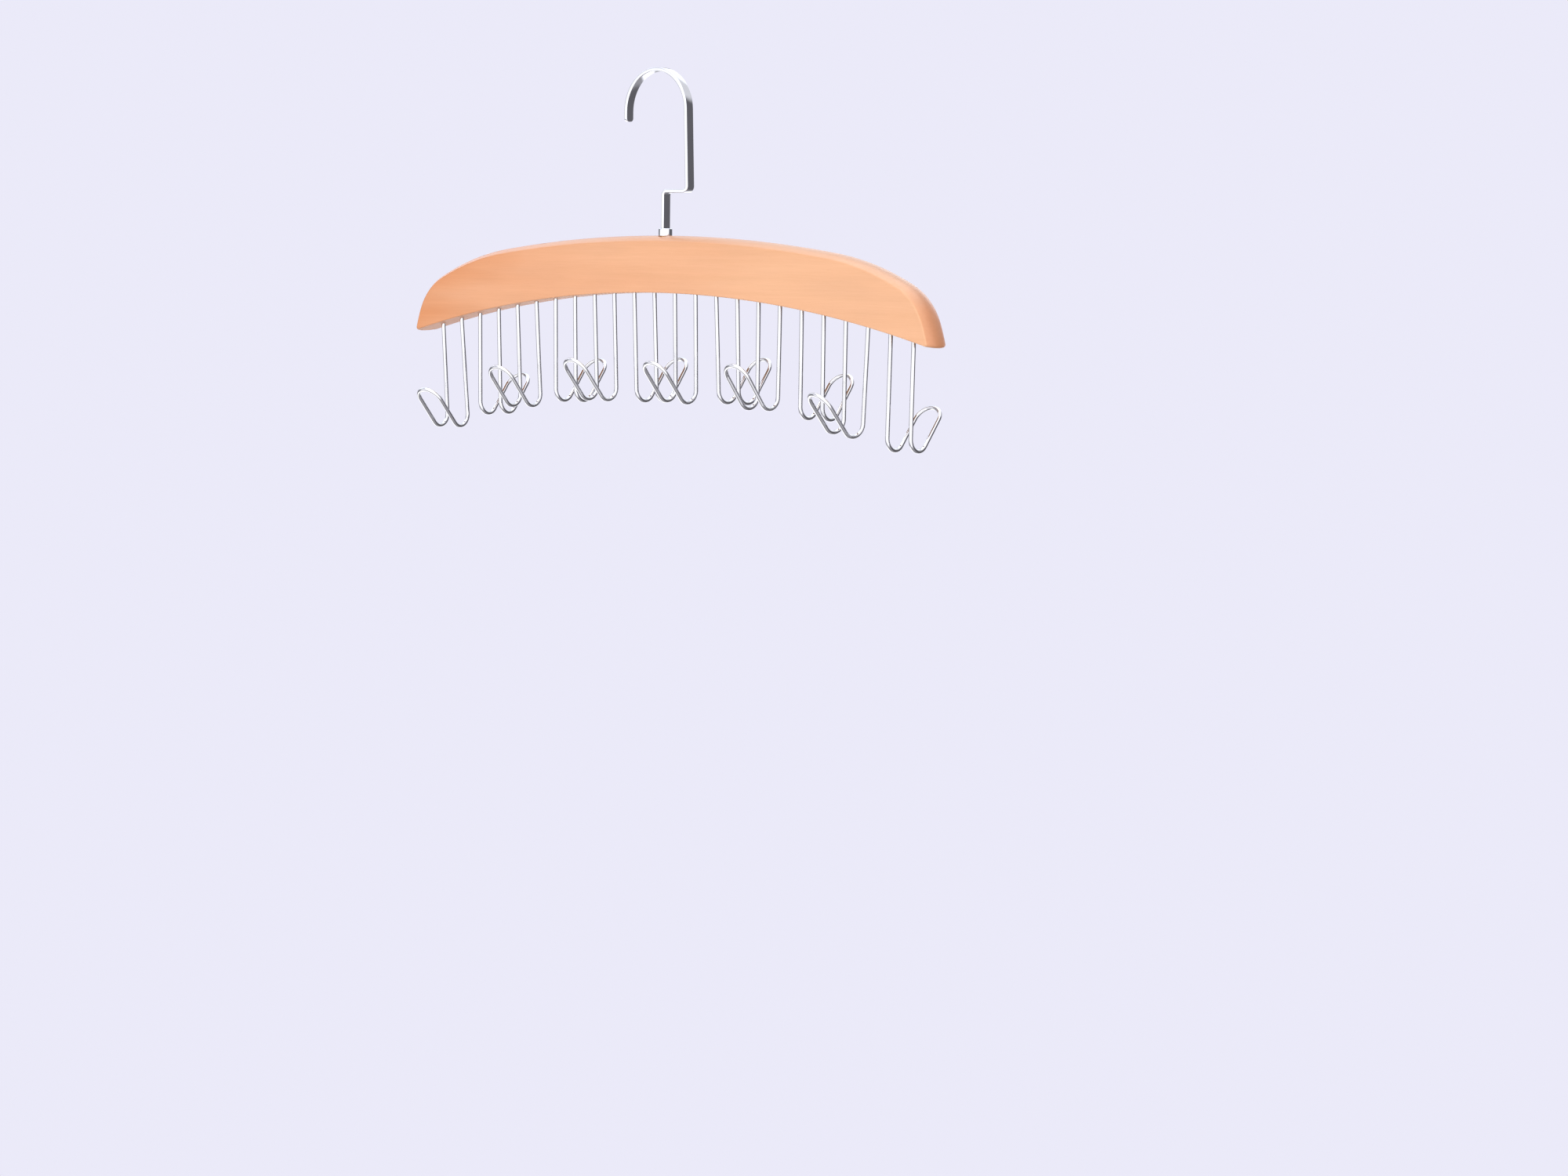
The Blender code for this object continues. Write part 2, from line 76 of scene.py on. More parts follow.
# Flat hook, with the inner top of its arc at height 0
HOOK_LOW, HOOK_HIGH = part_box("swivel_hook")
STRIP_WIDTH = HOOK_HIGH.y - HOOK_LOW.y
STRIP_THICKNESS = HOOK_HIGH.z
SHANK_END_Z = HOOK_LOW.z
SEAT_RADIUS = 0.0215
STRIP_EDGE = 0.0004
STRIP_EDGE_STEPS = 4
JOG_HEIGHT = 0.0242
JOG_BEND = 0.0026
UPRIGHT_LEAN = math.radians(2)
TIP_LENGTH = 0.0055
TIP_ROUNDING = 0.0019
TIP_STEPS = 8
SHANK_RADIUS = 0.002
SHANK_CHAMFER = 0.0004

# The shank blends into the strip between two heights above the wood
FLAT_START = 0.0004
FLAT_END = 0.0022
FLAT_STEPS = 4

# Collar, by how much lower its top is than the model's and how deep it sits in the wood
COLLAR_DROP = 0.0004
COLLAR_SEAT = 0.0004
COLLAR_BORE = 0.0031
COLLAR_RIM = 0.0005
COLLAR_RIM_STEPS = 5
COLLAR_LIP = 0.0012

# Wires
HOOK_COUNT = 12
END_MARGIN = 0.0184
WIRE_RADIUS = 0.00115
LEG_LENGTH = 0.0515
LEG_SEAT = 0.013
TROUGH_RADIUS = 0.0066
RISE_ANGLE = math.radians(37.5)
RISE_LENGTH = 0.0177
MOUTH_BEND = 0.001
MOUTH_STEPS = 8
HOLE_GAP = 0.00004
HOLE_FLARE = 0.00005
LEG_COUNT = 2 * HOOK_COUNT
LEG_PITCH = 2 * (HALF_LENGTH - END_MARGIN) / (LEG_COUNT - 1)

# How each hook stands, in degrees towards the back, towards the right end and turned
# anticlockwise seen from above, with the extra length of its legs in millimetres
HOOK_STANCES = [
    (4, 0.5, 6, 1.8), (-2.5, 4, 4.5, -0.2), (2, 1.5, 3, -0.6), (-0.5, 1.5, 1.5, -0.5),
    (2, 0.5, -1, -0.1), (0, 2.5, 0, 1.2), (3.5, -2, -0.5, 0.3), (2, 0.5, -3, -0.7),
    (-1, 0.5, -2.5, -1.7), (0.5, -0.5, 0.5, -0.9), (4.5, -5.5, -8, 0.9), (-2, 0.5, 1.5, 1.4),
]

# Swivel under the bar
RECESS_RADIUS = 0.0045
NUT_SIDES = 6
NUT_FLATS = 0.0066
NUT_HEIGHT = 0.003
NUT_SLOPE = math.radians(30)
THREAD_PITCH = 0.0007
THREAD_DEPTH = 0.0002
RING_CHAMFER = 0.0001
BORE_GAP = 0.0002

# How far cutters reach above and below the collar's top, and past the ends of the nut
SLOT_REACH = 0.01
NUT_MARGIN = 0.001

# Fineness of the meshes, first along the bar's crown, shoulder, end and tip
TOP_STEPS = (60, 28, 20, 8)
CORNER_STEPS = 8
CROWN_STEPS = 8
EASING_STEPS = 5
FACE_ROWS = 8
FACE_RIM = 0.0001
WIRE_SIDES = 20
ARC_STEP = math.radians(5)
TURNED_SEGMENTS = 64
HOLE_SEGMENTS = 28
SHARP_ANGLE = math.radians(40)
MERGE_DISTANCE = 1e-7

# Camera, with its lens and sensor in millimetres
CAMERA_PLACE = Vector((1.3434, -1.3970, -0.0999))
CAMERA_TURN = math.radians(41.754)
CAMERA_PITCH = math.radians(5.355)
CAMERA_ROLL = math.radians(0.775)
CAMERA_LENS = 81
SENSOR_WIDTH = 36

# Wood at the left end, left of the middle and towards the right end, with the distances from
# the model's origin between which each tone gives way to the next
WOOD_TONES = [(0.82, 0.315, 0.115), (0.925, 0.445, 0.230), (0.985, 0.535, 0.300)]
LEFT_FADE = (-0.20, -0.115)
RIGHT_FADE = (-0.12, 0.12)
TONE_DRIFT = 0.05

# The normal's upward part where the dull underside gives way to the lacquered sides
UNDERSIDE_FADE = (-0.98, -0.8)

# Noises in the wood, each by its features a metre along, across and up, and its detail, with
# the streaks' roughness and distortion too
BROAD = ((7, 30, 42), 2)
CLOUDS = ((22, 75, 95), 1)
STREAKS = ((9, 420, 520), 3, 0.55, 0.2)
FIBRES = ((70, 1800, 2600), 2)
FLECKS = ((330, 2600, 2600), 1)

# What darkens the wood: the noise's range, the strength at its end and the tone there
CLOUD_LAYER = (0.35, 0.65, 0.55, (0.93, 0.93, 0.94))
STREAK_LAYER = (0.32, 0.68, 0.36, (0.90, 0.86, 0.80))
FIBRE_LAYER = (0.35, 0.65, 0.26, (0.92, 0.86, 0.80))
FLECK_LAYER = (0.68, 0.76, 0.18, (0.86, 0.76, 0.68))
END_GRAIN_TONE = (0.88, 0.70, 0.61)

# Faint patches in the metals, as a noise like the wood's
PATCHES = ((45, 45, 45), 3)

# Metals: tone, worn tone, roughness, marks a metre and their depth
CHROME = ((0.66, 0.67, 0.69), (0.61, 0.62, 0.65), 0.05, (900, 2600, 140), 0.00001)
BRIGHT_WIRE = ((0.62, 0.62, 0.63), (0.54, 0.54, 0.56), 0.08, (1800, 1800, 120), 0.00002)
BRASS = ((0.80, 0.60, 0.28), (0.66, 0.46, 0.20), 0.28, (200, 200, 5000), 0.00002)
ZINC = ((0.66, 0.68, 0.71), (0.54, 0.56, 0.60), 0.24, (800, 800, 4000), 0.00003)

# Studio
BACKGROUND = (0.831, 0.823, 0.945)
FLOOR_Z = -1.0
FLOOR_RADIUS = 3.2
FLOOR_RINGS = (0.2, 0.4, 0.7, 1.0)
FLOOR_SEGMENTS = 96
FLOOR_FADE = (0.7, 1.3)
FLOOR_TONE = (0.76, 0.75, 0.84)
SKY_TONE = (0.95, 0.95, 1.0)
SKY_STRENGTH = 0.42
LAMP_DISTANCE = 2.2
LAMP_SIZE = 1.5

# Soft lamps: name, degrees from the front towards the right and upwards, watts and colour
LAMPS = [
    ("key", -5, 12, 28.9, (1.0, 0.99, 0.97)),
    ("fill", 75, 15, 13, (0.98, 0.98, 1.0)),
    ("back", 190, 3, 19, (0.98, 0.98, 1.0)),
]

# What shiny things see besides the pale background: the middle's azimuth from the front
# towards the right and its elevation, its reach and its soft edge in degrees, and its tone
SURROUNDINGS = [
    (0, -90, 58, 12, (0.46, 0.45, 0.48)),
    (148, -5, 40, 9, (0.17, 0.165, 0.18)),
    (160, 46, 28, 8, (1.0, 1.0, 1.05)),
    (-80, 0, 30, 8, (0.32, 0.32, 0.35)),
    (38, 8, 63, 12, (1.9, 1.9, 1.95)),
    (-40, -5, 17, 8, (1.6, 1.6, 1.65)),
    (-96, -44, 16, 8, (2.4, 2.4, 2.4)),
    (-140, -28, 21, 8, (2.1, 2.1, 2.25)),
    (-102, 36, 20, 10, (2.2, 2.4, 2.7)),
    (-156, 32, 18, 10, (2.0, 2.1, 2.3)),
    (-128, 54, 24, 12, (1.2, 1.3, 1.45)),
    (-138, -1, 14, 6, (0.45, 0.45, 0.48)),
    (0, 88, 30, 14, (3.5, 3.7, 4.1)),
]


class Pen:
    """Draws a smooth line of straights and arcs in the XZ plane, with its headings."""

    def __init__(self, x, z, heading):
        self.points = [Vector((x, 0, z))]
        self.headings = [heading]

    def straight(self, length):
        """Go on in the present heading."""
        heading = self.headings[-1]
        step = Vector((math.cos(heading), 0, math.sin(heading)))
        self.points.append(self.points[-1] + length * step)
        self.headings.append(heading)

    def turn(self, radius, angle):
        """Turn left by a positive angle, right by a negative one."""
        steps = max(2, math.ceil(abs(angle) / ARC_STEP))
        side = math.copysign(1, angle)
        start = self.headings[-1]
        centre = self.points[-1] + side * radius * Vector((-math.sin(start), 0, math.cos(start)))
        for step in range(1, steps + 1):
            heading = start + angle * step / steps
            spoke = Vector((math.sin(heading), 0, -math.cos(heading)))
            self.points.append(centre + side * radius * spoke)
            self.headings.append(heading)


def outward(angle):
    """Direction in the XZ plane, by its angle from straight up towards the right."""
    return Vector((math.sin(angle), 0, math.cos(angle)))


def towards(azimuth, elevation):
    """Direction in space, by its degrees from the front towards the right and upwards."""
    turn = math.radians(azimuth)
    tilt = math.radians(elevation)
    return Vector((
        math.sin(turn) * math.cos(tilt), -math.cos(turn) * math.cos(tilt), math.sin(tilt)))


def arc(centre, radius, start, end, steps):
    """Points along an arc, both ends included, by angles from straight up."""
    return [
        centre + radius * outward(start + (end - start) * step / steps)
        for step in range(steps + 1)
    ]


def piece(name, mesh, material, body, slot, *nodes):
    """Put a finished mesh into the scene as a piece that rides on a body."""
    item = bpy.data.objects.new(name, mesh)
    bpy.context.scene.collection.objects.link(item)
    item.data.materials.append(material)
    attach(item, body)
    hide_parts(*nodes)


def smooth(mesh):
    """Shade round faces smooth and keep true corners crisp."""
    mesh.shade_smooth()
    mesh.set_sharp_from_angle(angle=SHARP_ANGLE)
    return mesh


def mesh_from(shape, name):
    """Turn a finished bmesh into a mesh with its normals out."""
    bmesh.ops.recalc_face_normals(shape, faces=shape.faces)
    mesh = bpy.data.meshes.new(name)
    shape.to_mesh(mesh)
    shape.free()
    return mesh


def grid(shape, rows, wrap=False):
    """Add a sheet of quads through rows of points, its rows closed into rings if wrapped."""
    rows = [[shape.verts.new(point) for point in row] for row in rows]
    for upper, lower in zip(rows, rows[1:]):
        for index in range(len(upper) - (0 if wrap else 1)):
            after = (index + 1) % len(upper)
            shape.faces.new((upper[index], upper[after], lower[after], lower[index]))
    return rows


def closed_rings(name, rings):
    """A closed mesh through rings of points, with a flat cap at each end."""
    shape = bmesh.new()
    rows = grid(shape, rings, wrap=True)
    shape.faces.new(rows[0])
    shape.faces.new(rows[-1])
    return mesh_from(shape, name)


def circle(centre, radius, across, along, sides):
    """Points round a centre, in the plane of two directions."""
    angles = [2 * math.pi * side / sides for side in range(sides)]
    return [
        centre + radius * (math.cos(angle) * across + math.sin(angle) * along)
        for angle in angles
    ]


def turned(name, profile, x, segments=TURNED_SEGMENTS):
    """A mesh turned about an upright axis from (radius, height) points.

    It closes on the axis, or as a ring if its profile starts and ends away from the axis.
    """
    shape = bmesh.new()
    rings = [
        circle(Vector((x, 0, height)), radius, RIGHT, BACK, segments)
        for radius, height in profile
    ]
    if profile[0][0] and profile[-1][0]:
        rings.append(rings[0])
    grid(shape, rings, wrap=True)
    bmesh.ops.remove_doubles(shape, verts=shape.verts, dist=MERGE_DISTANCE)
    return mesh_from(shape, name)


def combined(mesh, cutter, operation="DIFFERENCE"):
    """The mesh after a boolean with another one, which is used up."""
    item = bpy.data.objects.new("blank", mesh)
    tool = bpy.data.objects.new("tool", cutter)
    for each in (item, tool):
        bpy.context.scene.collection.objects.link(each)
    boolean = item.modifiers.new("boolean", "BOOLEAN")
    boolean.operation = operation
    boolean.solver = "EXACT"
    boolean.object = tool
    depsgraph = bpy.context.evaluated_depsgraph_get()
    result = bpy.data.meshes.new_from_object(item.evaluated_get(depsgraph))
    result.name = mesh.name
    for each in (item, tool):
        bpy.data.objects.remove(each)
    return result


def underside_z(x):
    """Height of the bar's arched underside at a distance from its middle."""
    return UNDERSIDE_TOP_Z - UNDERSIDE_RADIUS + math.sqrt(UNDERSIDE_RADIUS**2 - x**2)


def leg_places():
    """Distances of the wire legs from the stem."""
    return [(leg - (LEG_COUNT - 1) / 2) * LEG_PITCH for leg in range(LEG_COUNT)]


def corner_angle(first, second, opposite):
    """Angle of a triangle between two of its sides, opposite the third."""
    return math.acos((first**2 + second**2 - opposite**2) / (2 * first * second))


def bearing(vector):
    """Angle of a direction in the XZ plane from straight up towards the right."""
    return math.atan2(vector.x, vector.z)


def top_arcs():
    """Crown, shoulder, end and tip of the top's right half, as (centre, radius, start, end)."""
    tip = Vector((HALF_LENGTH, 0, underside_z(HALF_LENGTH)))
    crown_centre = Vector((0, 0, WOOD_TOP_Z - TOP_RADIUS))
    shoulder_reach = TOP_RADIUS - SHOULDER_RADIUS
    to_end = (SHOULDER_RADIUS - END_RADIUS) * outward(SHOULDER_ANGLE)
    to_tip = (END_RADIUS - TIP_RADIUS) * outward(END_ANGLE)
    rest = tip - crown_centre - to_end - to_tip
    crown_angle = bearing(rest) - corner_angle(rest.length, shoulder_reach, TIP_RADIUS)
    tip_angle = bearing(rest) + corner_angle(rest.length, TIP_RADIUS, shoulder_reach)
    shoulder_centre = crown_centre + shoulder_reach * outward(crown_angle)
    end_centre = shoulder_centre + to_end
    return [
        (crown_centre, TOP_RADIUS, 0, crown_angle),
        (shoulder_centre, SHOULDER_RADIUS, crown_angle, SHOULDER_ANGLE),
        (end_centre, END_RADIUS, SHOULDER_ANGLE, END_ANGLE),
        (end_centre + to_tip, TIP_RADIUS, END_ANGLE, tip_angle),
    ]


def bar_section(arris_radius):
    """Half of the bar's section, as (distance from the middle, top inset, underside inset).

    The top is a shallow arc from face to face with a softened arris, the underside is flat
    with eased edges. The last entry lies a little way down the flat face.
    """
    crown_radius = (HALF_THICKNESS**2 + TOP_CROWN**2) / (2 * TOP_CROWN)
    arris_y = HALF_THICKNESS - arris_radius
    arris_reach = crown_radius - arris_radius
    arris_angle = math.asin(arris_y / arris_reach)
    arris_inset = crown_radius - arris_reach * math.cos(arris_angle)
    easing_y = HALF_THICKNESS - UNDERSIDE_EASING
    places = [
        crown_radius * math.sin(arris_angle * step / CROWN_STEPS)
        for step in range(CROWN_STEPS + 1)
    ]
    crown_end = places[-1]
    places += [easing_y, (easing_y + crown_end) / 2]
    for step in range(1, EASING_STEPS + 1):
        angle = arris_angle + (math.pi / 2 - arris_angle) * step / EASING_STEPS
        places.append(arris_y + arris_radius * math.sin(angle))
    section = []
    for y in sorted(places):
        top = crown_radius - math.sqrt(crown_radius**2 - y**2)
        if y > crown_end:
            top = arris_inset - math.sqrt(max(0, arris_radius**2 - (y - arris_y) ** 2))
        past = max(0, y - easing_y)
        under = UNDERSIDE_EASING - math.sqrt(max(0, UNDERSIDE_EASING**2 - past**2))
        section.append((y, top, under))
    section.append((HALF_THICKNESS, arris_inset + FACE_RIM, UNDERSIDE_EASING + FACE_RIM))
    return section


def bar_ring(y, top_inset, under_inset):
    """Outline of the bar's right half at one place across it, by how far it lies inside.

    It runs from the top's middle round the softened lower corner to the underside's middle.
    """
    *arcs, (tip_centre, tip_radius, tip_start, _) = top_arcs()
    arch_centre = Vector((0, 0, UNDERSIDE_TOP_Z - UNDERSIDE_RADIUS))
    arch_radius = UNDERSIDE_RADIUS + under_inset
    tip_radius -= top_inset
    between = tip_centre - arch_centre
    corner_centre = arch_centre + (arch_radius + CORNER_RADIUS) * outward(
        bearing(between) + corner_angle(
            between.length, arch_radius + CORNER_RADIUS, tip_radius - CORNER_RADIUS))
    tip_end = bearing(corner_centre - tip_centre)
    arch_end = bearing(corner_centre - arch_centre)
    ring = [Vector((0, 0, WOOD_TOP_Z - top_inset))]
    for (centre, radius, start, end), steps in zip(arcs, TOP_STEPS):
        ring += arc(centre, radius - top_inset, start, end, steps)[1:]
    ring += arc(tip_centre, tip_radius, tip_start, tip_end, TOP_STEPS[-1])[1:]
    ring += arc(corner_centre, CORNER_RADIUS, tip_end, math.pi + arch_end, CORNER_STEPS)[1:]
    ring += arc(arch_centre, arch_radius, arch_end, 0, sum(TOP_STEPS))[1:]
    for point in ring:
        point.y = y
    return ring


def bar_mesh():
    """The whole bar: flat faces, crowned top and ends, eased underside, drilled holes."""
    rings = [bar_ring(-y, *insets) for y, *insets in reversed(bar_section(ARRIS_RADIUS))]
    rings += [bar_ring(y, *insets) for y, *insets in bar_section(BACK_ARRIS_RADIUS)[1:]]
    shape = bmesh.new()
    grid(shape, rings)
    count = sum(TOP_STEPS) + 1
    for ring in (rings[0], rings[-1]):
        upper, corner, lower = ring[:count], ring[count:-count], ring[:-count - 1:-1]
        rows = [
            [start.lerp(end, row / FACE_ROWS) for start, end in zip(upper, lower)]
            for row in range(FACE_ROWS + 1)
        ]
        grid(shape, rows)
        rim = [row[-1] for row in rows] + corner[::-1]
        shape.faces.new([shape.verts.new(point) for point in rim])
    bmesh.ops.mirror(
        shape, geom=shape.verts[:] + shape.edges[:] + shape.faces[:], matrix=Matrix(),
        merge_dist=MERGE_DISTANCE, axis="X")
    bmesh.ops.remove_doubles(shape, verts=shape.verts, dist=MERGE_DISTANCE)
    bmesh.ops.translate(shape, vec=(STEM_X, 0, 0), verts=shape.verts)
    mesh = mesh_from(shape, "bar_wood")
    return combined(combined(mesh, leg_holes()), swivel_hole())


def leg_holes():
    """Blind holes for the wire legs, each a little flared at its mouth."""
    shape = bmesh.new()
    radius = WIRE_RADIUS + HOLE_GAP
    for x in leg_places():
        mouth = underside_z(x)
        below = mouth - HOLE_FLARE
        profile = [
            (0, below), (radius + 2 * HOLE_FLARE, below), (radius, mouth + HOLE_FLARE),
            (radius, mouth + LEG_SEAT), (0, mouth + LEG_SEAT),
        ]
        mesh = turned("leg_hole", profile, STEM_X + x, HOLE_SEGMENTS)
        shape.from_mesh(mesh)
        bpy.data.meshes.remove(mesh)
    return mesh_from(shape, "leg_holes")


def swivel_hole():
    """The bore for the swivel, the shallow seat for its collar and the recess for its nut."""
    recess_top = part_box("thrust_washer")[1].z
    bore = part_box("pivot_sleeve")[1].x - STEM_X + BORE_GAP
    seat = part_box("hook_collar")[1].y + BORE_GAP / 2
    seat_z = WOOD_TOP_Z - COLLAR_SEAT - BORE_GAP / 2
    below = UNDERSIDE_TOP_Z - HOLE_FLARE
    above = WOOD_TOP_Z + HOLE_FLARE
    profile = [
        (0, below), (RECESS_RADIUS + 2 * HOLE_FLARE, below),
        (RECESS_RADIUS, UNDERSIDE_TOP_Z + HOLE_FLARE), (RECESS_RADIUS, recess_top),
        (bore, recess_top), (bore, seat_z), (seat, seat_z), (seat, above), (0, above),
    ]
    return turned("swivel_hole", profile, STEM_X)


def wire_path(index):
    """Middle line of one wire hook, from the top of one leg to the top of the other."""
    left, right = leg_places()[2 * index:2 * index + 2]
    half = (right - left) / 2

    # Hooks face the front and the back in turn
    side = -1 if index % 2 == 0 else 1
    back, sideways, turned_by, extra = HOOK_STANCES[index]
    stance = Matrix.Rotation(math.radians(-sideways), 3, "Y")
    stance @= Matrix.Rotation(math.radians(back), 3, "X")
    stance @= Matrix.Rotation(math.radians(turned_by), 3, "Z")
    entry_z = (underside_z(left) + underside_z(right)) / 2
    entry = Vector((STEM_X + (left + right) / 2, 0, entry_z))
    pen = Pen(0, -LEG_LENGTH - extra / 1000, -math.pi / 2)
    pen.turn(TROUGH_RADIUS, math.pi - RISE_ANGLE)
    pen.straight(RISE_LENGTH)
    line = [(point.x, point.z) for point in pen.points]
    reach, height = line[-1]
    rise = Vector((0, side * math.sin(RISE_ANGLE), math.cos(RISE_ANGLE)))
    hanging = [Vector((-half, side * out, up)) for out, up in line]
    steps = math.ceil(math.pi / ARC_STEP)
    for step in range(1, steps):
        angle = math.pi * (1 - step / steps)
        across = Vector((half * math.cos(angle), side * reach, height))
        hanging.append(across + half * math.sin(angle) * rise)
    hanging += [Vector((half, side * out, up)) for out, up in reversed(line)]
    points = [entry + stance @ point for point in hanging]
    return mouth_bend(left, points[0]) + points + mouth_bend(right, points[-1])[::-1]


def mouth_bend(x, leg_end):
    """The top of a wire leg: straight in its hole, then bent a little towards its lower end."""
    mouth = Vector((STEM_X + x, 0, underside_z(x)))
    knee = mouth - Vector((0, 0, MOUTH_BEND))
    after = knee + MOUTH_BEND * (leg_end - knee).normalized()
    bend = []
    for step in range(MOUTH_STEPS + 1):
        part = step / MOUTH_STEPS
        bend.append(mouth.lerp(knee, part).lerp(knee.lerp(after, part), part))
    return [mouth + Vector((0, 0, LEG_SEAT - HOLE_FLARE))] + bend


def wire_mesh(name, path):
    """A round wire along a path, its rings carried on without twist."""
    rings = []
    across = RIGHT
    for index, point in enumerate(path):
        before = path[max(0, index - 1)]
        after = path[min(len(path) - 1, index + 1)]
        along = (after - before).normalized()
        across = (across - across.dot(along) * along).normalized()
        rings.append(circle(point, WIRE_RADIUS, across, along.cross(across), WIRE_SIDES))
    return closed_rings(name, rings)


def hook_line():
    """Middle line of the flat hook: shank, stem, jog to the right, upright, seat arc and tip."""
    radius = SEAT_RADIUS + STRIP_THICKNESS / 2
    tangent_x = radius * math.cos(UPRIGHT_LEAN)
    tangent_z = -SEAT_RADIUS + radius * math.sin(UPRIGHT_LEAN)
    jog_z = WOOD_TOP_Z + JOG_HEIGHT
    upright_x = tangent_x + (tangent_z - jog_z) * math.tan(UPRIGHT_LEAN)
    second_turn = math.pi / 2 + UPRIGHT_LEAN
    second_reach = JOG_BEND * math.tan(second_turn / 2)
    pen = Pen(STEM_X, SHANK_END_Z, math.pi / 2)
    flat_from = WOOD_TOP_Z + FLAT_START
    lengths = [SHANK_CHAMFER, flat_from - SHANK_END_Z - SHANK_CHAMFER]
    lengths += [(FLAT_END - FLAT_START) / FLAT_STEPS] * FLAT_STEPS
    for length in lengths:
        pen.straight(length)
    pen.straight(jog_z - JOG_BEND - pen.points[-1].z)
    pen.turn(JOG_BEND, -math.pi / 2)
    pen.straight(upright_x - STEM_X - JOG_BEND - second_reach)
    pen.turn(JOG_BEND, second_turn)
    start = pen.points[-1]
    pen.straight(math.hypot(tangent_x - start.x, tangent_z - start.z))
    pen.turn(radius, math.pi - UPRIGHT_LEAN)
    pen.straight(TIP_LENGTH - TIP_ROUNDING)
    for step in range(1, TIP_STEPS + 1):
        near = math.sin(math.pi / 2 * (step - 1) / TIP_STEPS)
        far = math.sin(math.pi / 2 * step / TIP_STEPS)
        pen.straight(TIP_ROUNDING * (far - near))
    return pen


def strip_section(half_width):
    """Rounded rectangle as (across the strip's thickness, along Y) points, corner by corner."""
    points = []
    for corner, (side_x, side_y) in enumerate(((1, 1), (-1, 1), (-1, -1), (1, -1))):
        for step in range(STRIP_EDGE_STEPS + 1):
            angle = math.pi / 2 * (corner + step / STRIP_EDGE_STEPS)
            points.append((
                side_x * (STRIP_THICKNESS / 2 - STRIP_EDGE) + STRIP_EDGE * math.cos(angle),
                side_y * (half_width - STRIP_EDGE) + STRIP_EDGE * math.sin(angle),
            ))
    return points


def hook_mesh():
    """The flat hook and its round shank as one skin."""
    pen = hook_line()
    flat = strip_section(STRIP_WIDTH / 2)
    angles = [math.atan2(y, x) for x, y in flat]
    tip_start = pen.points[-1].z + TIP_ROUNDING
    rings = []
    for index, (point, heading) in enumerate(zip(pen.points, pen.headings)):
        flatness = min(1, max(0, (point.z - WOOD_TOP_Z - FLAT_START) / (FLAT_END - FLAT_START)))
        at_tip = point.x < 0 and point.z < tip_start
        left = Vector((-math.sin(heading), 0, math.cos(heading)))
        shank = SHANK_RADIUS - (SHANK_CHAMFER if index == 0 else 0)
        section = flat
        if at_tip:
            depth = tip_start - point.z
            narrowing = TIP_ROUNDING - math.sqrt(max(0, TIP_ROUNDING**2 - depth**2))
            section = strip_section(STRIP_WIDTH / 2 - narrowing)
        ring = []
        for (x, y), angle in zip(section, angles):
            if not at_tip:
                x = shank * math.cos(angle) * (1 - flatness) + x * flatness
                y = shank * math.sin(angle) * (1 - flatness) + y * flatness
            ring.append(point + x * left + y * BACK)
        rings.append(ring)
    return closed_rings("hook_strip", rings)


def box_mesh(low, high):
    """A plain block, used only to cut with."""
    shape = bmesh.new()
    bmesh.ops.create_cube(shape, size=1)
    bmesh.ops.scale(shape, vec=high - low, verts=shape.verts)
    bmesh.ops.translate(shape, vec=(low + high) / 2, verts=shape.verts)
    return mesh_from(shape, "block")


def collar_mesh():
    """Turned collar with rounded rims and a slot that fits the strip, let into the wood."""
    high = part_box("hook_collar")[1]
    top = high.z - COLLAR_DROP
    foot = WOOD_TOP_Z - COLLAR_SEAT
    roof = top - COLLAR_LIP
    flat_radius = high.y - COLLAR_RIM
    profile = [(0, top)]
    for centre_z, start, end in ((top - COLLAR_RIM, 0, 90), (foot + COLLAR_RIM, 90, 180)):
        for step in range(COLLAR_RIM_STEPS + 1):
            angle = math.radians(start + (end - start) * step / COLLAR_RIM_STEPS)
            profile.append((
                flat_radius + COLLAR_RIM * math.sin(angle),
                centre_z + COLLAR_RIM * math.cos(angle)))
    profile += [(COLLAR_BORE, foot), (COLLAR_BORE, roof), (0, roof)]
    collar = turned("collar", profile, STEM_X)
    reach = Vector((
        (STRIP_THICKNESS + BORE_GAP) / 2, (STRIP_WIDTH + BORE_GAP) / 2, SLOT_REACH))
    middle = Vector((STEM_X, 0, top))
    return combined(collar, box_mesh(middle - reach, middle + reach))


def ring_mesh(name, node, inner):
    """A turned ring in a node's place, with its outer edges eased."""
    low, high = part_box(node)
    outer = high.y
    eased = outer - RING_CHAMFER
    profile = [
        (eased, high.z), (outer, high.z - RING_CHAMFER), (outer, low.z + RING_CHAMFER),
        (eased, low.z), (inner, low.z), (inner, high.z),
    ]
    return turned(name, profile, STEM_X)


def nut_mesh():
    """Hexagon nut with turned chamfers and a threaded bore."""
    low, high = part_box("lock_nut")
    corner = NUT_FLATS / 2 / math.cos(math.pi / NUT_SIDES)
    overhang = corner - NUT_FLATS / 2
    fall = 2 * overhang * math.tan(NUT_SLOPE)
    profile = [
        (NUT_FLATS / 2, high.z), (corner + overhang, high.z - fall),
        (corner + overhang, low.z + fall), (NUT_FLATS / 2, low.z),
    ]
    inner = SHANK_RADIUS + BORE_GAP
    groove = inner + THREAD_DEPTH
    for turn in range(int(NUT_HEIGHT / THREAD_PITCH)):
        start = low.z + turn * THREAD_PITCH
        profile += [(groove, start), (inner, start + THREAD_PITCH / 2)]
    profile += [(groove, high.z)]
    blank = turned("nut", profile, STEM_X)
    ends = [Vector((STEM_X, 0, z)) for z in (low.z - NUT_MARGIN, high.z + NUT_MARGIN)]
    hexagon = closed_rings(
        "hexagon", [circle(end, corner, RIGHT, BACK, NUT_SIDES) for end in ends])
    return combined(blank, hexagon, "INTERSECT")


